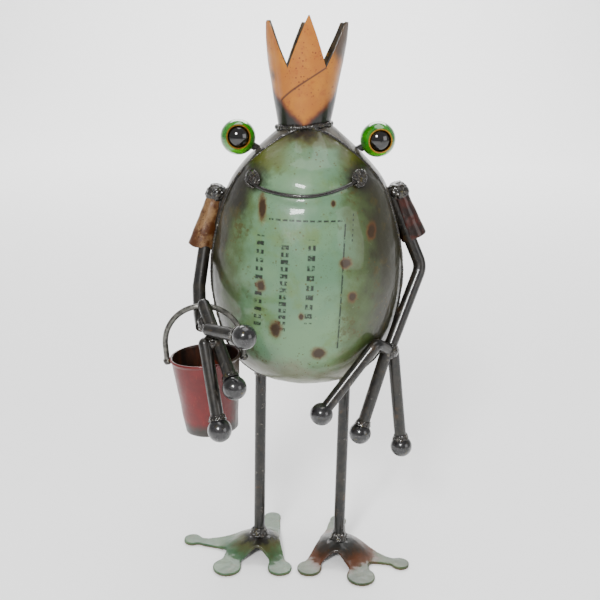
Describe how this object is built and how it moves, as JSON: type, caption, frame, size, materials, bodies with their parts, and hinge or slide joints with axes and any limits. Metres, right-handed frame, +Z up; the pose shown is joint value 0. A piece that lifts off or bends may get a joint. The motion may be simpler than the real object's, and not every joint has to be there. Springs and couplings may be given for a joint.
{
  "type": "welded scrap metal frog figure",
  "caption": "Standing garden frog king of welded drum sheet and bar: egg body, cut crown, glass eyes, bar arms with ball fingertips, and a tin bucket hanging from one hand.",
  "frame": {"origin": "centre of the bounding box, on the ground under the feet", "axes": "+Z up; the frog looks along -Y; left and right in the node names are as seen from the front, so left is -X"},
  "size_m": [0.1712, 0.1728, 0.38],
  "materials": {
    "body_paint": "old mint-green drum paint with rust chips, under clear lacquer",
    "bare_sheet": "bare drum sheet, heat-darkened, lacquered",
    "weld": "burnt weld bead, lacquered",
    "dark_steel": "dark mill-scale bar, lacquered",
    "ball_steel": "dark polished bearing ball",
    "crown_paint": "old orange drum paint, burnt at the edges, lacquered",
    "sleeve_sheet": "copper-brown rusted sheet, lacquered",
    "foot_paint_green": "old mint-green drum paint, burnt at the ankle",
    "foot_paint_brown": "olive to rust-brown drum paint, burnt at the ankle",
    "eye_glass": "solid green glass",
    "eye_ring": "polished",
    "eye_pupil": "gloss black",
    "bucket_paint": "old red paint, burnt at the bottom edge",
    "bail_steel": "bare wire"
  },
  "bodies": {
    "frog": {"ankle_weld_left": "weld", "ankle_weld_right": "weld", "arm_bar_left": "dark_steel", "arm_bar_right": "dark_steel", "body_back_shell": "bare_sheet", "body_front_shell": "body_paint", "body_seam_weld": "weld", "crown": "crown_paint", "crown_weld": "weld", "eye_ball_left": "eye_glass", "eye_ball_right": "eye_glass", "eye_post_left": "dark_steel", "eye_post_right": "dark_steel", "eye_pupil_left": "eye_pupil", "eye_pupil_right": "eye_pupil", "eye_ring_left": "eye_ring", "eye_ring_right": "eye_ring", "finger_ball_left_inner": "ball_steel", "finger_ball_left_middle": "ball_steel", "finger_ball_left_outer": "ball_steel", "finger_ball_right_inner": "ball_steel", "finger_ball_right_middle": "ball_steel", "finger_ball_right_outer": "ball_steel", "finger_bar_left_inner": "dark_steel", "finger_bar_left_middle": "dark_steel", "finger_bar_left_outer": "dark_steel", "finger_bar_right_inner": "dark_steel", "finger_bar_right_middle": "dark_steel", "finger_bar_right_outer": "dark_steel", "fingertip_welds_left": "weld", "fingertip_welds_right": "weld", "foot_left": "foot_paint_green", "foot_right": "foot_paint_brown", "hip_weld_left": "weld", "hip_weld_right": "weld", "leg_bar_left": "dark_steel", "leg_bar_right": "dark_steel", "mouth_weld_left": "weld", "mouth_weld_right": "weld", "mouth_wire": "dark_steel", "shoulder_sleeve_left": "sleeve_sheet", "shoulder_sleeve_right": "sleeve_sheet", "shoulder_weld_left": "weld", "shoulder_weld_right": "weld", "wrist_weld_left": "weld", "wrist_weld_right": "weld"},
    "bucket": {"bail_end_welds": "weld", "bucket_bail": "bail_steel", "bucket_base": "bucket_paint", "bucket_rim": "bail_steel", "bucket_wall": "bucket_paint"}
  },
  "joints": [
    {"name": "bucket_swing", "type": "hinge", "parent": "frog", "child": "bucket", "pos_m": [-0.06107, -0.02905, 0.2022], "axis": [1, 0, 0], "range_deg": [-7, 2.5]}
  ]
}
